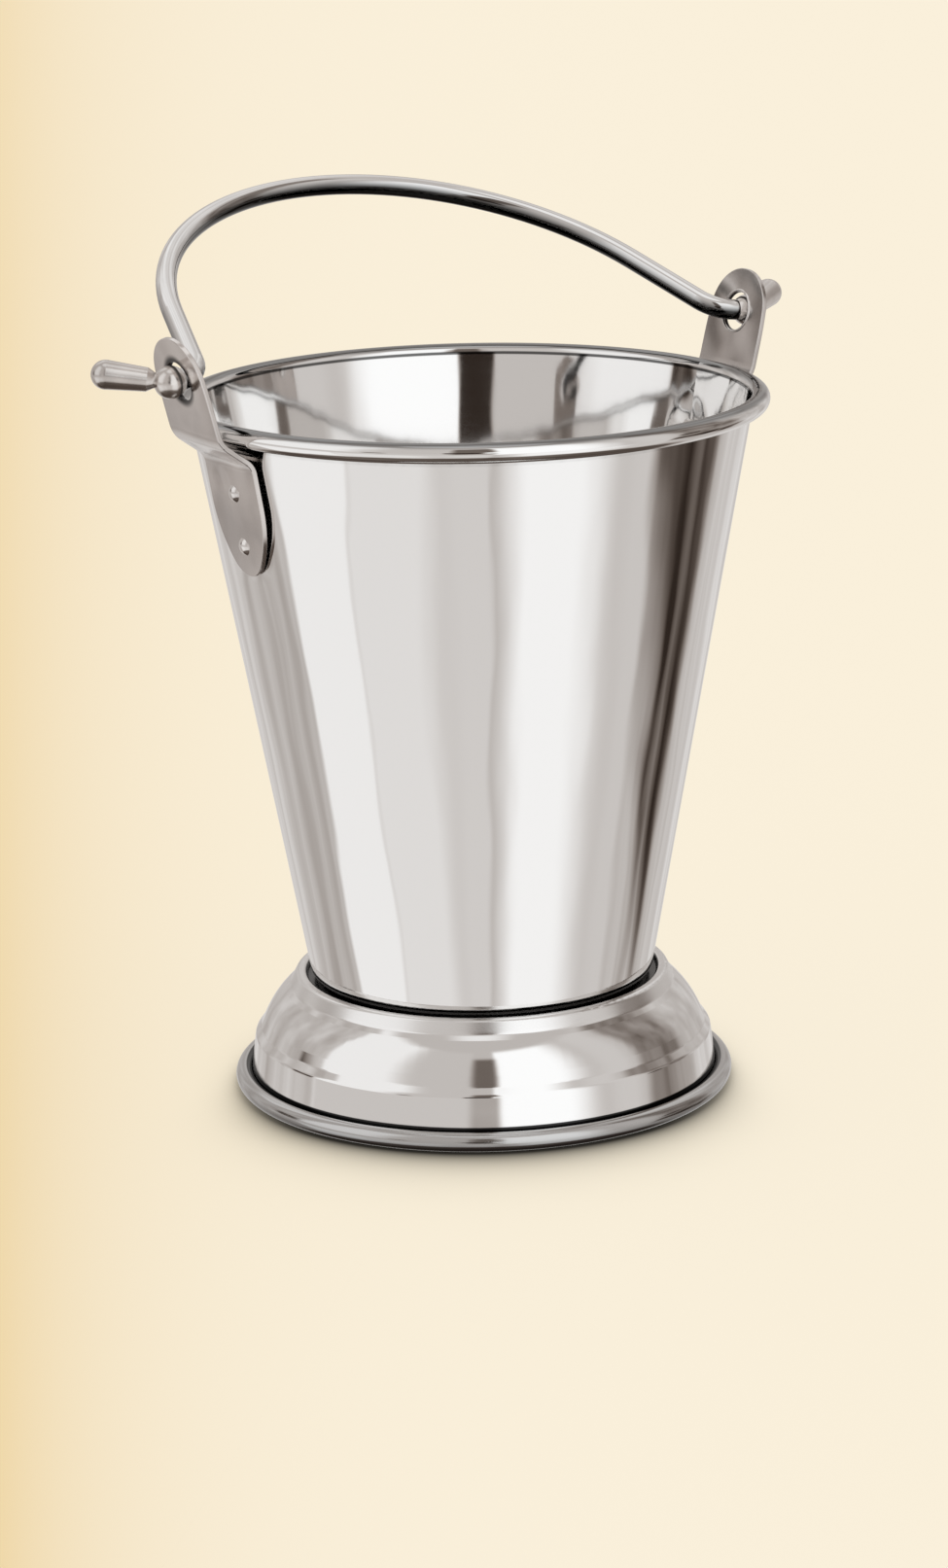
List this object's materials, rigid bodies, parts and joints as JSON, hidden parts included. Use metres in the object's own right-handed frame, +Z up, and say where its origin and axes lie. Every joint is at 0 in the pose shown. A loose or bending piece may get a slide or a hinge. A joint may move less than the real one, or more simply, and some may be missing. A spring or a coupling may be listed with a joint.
{
  "type": "serving bucket",
  "caption": "Small pail of polished stainless steel with a conical body, a rolled rim, a spun pedestal foot and a bail that swings in riveted ear straps.",
  "frame": {"origin": "on the bucket's axis, in the plane that it stands on", "axes": "+Z up along the bucket's axis, X along the bail's pivot axis from ear to ear, -Y towards the side that the bail leans away from"},
  "size_m": [0.1644, 0.1226, 0.1809],
  "materials": {
    "polished_shell": "mirror-polished stainless steel",
    "polished_foot": "mirror-polished stainless steel",
    "bail_rod": "polished stainless steel rod",
    "ear_strap": "satin stainless steel sheet",
    "end_knob": "fine-turned stainless steel",
    "rivet": "burnished steel"
  },
  "bodies": {
    "bucket": {"body_shell": "polished_shell", "pedestal_foot": "polished_foot", "left_ear_bracket": "ear_strap", "right_ear_bracket": "ear_strap", "left_lower_rivet": "rivet", "left_upper_rivet": "rivet", "right_lower_rivet": "rivet", "right_upper_rivet": "rivet"},
    "bail": {"bail_rod": "bail_rod", "left_end_knob": "end_knob", "right_end_knob": "end_knob"}
  },
  "joints": [
    {"name": "bail_swing", "type": "hinge", "parent": "bucket", "child": "bail", "pos_m": [0, 0, 0.1531], "axis": [1, 0, 0], "range_deg": [-35.5, 169.5]}
  ]
}
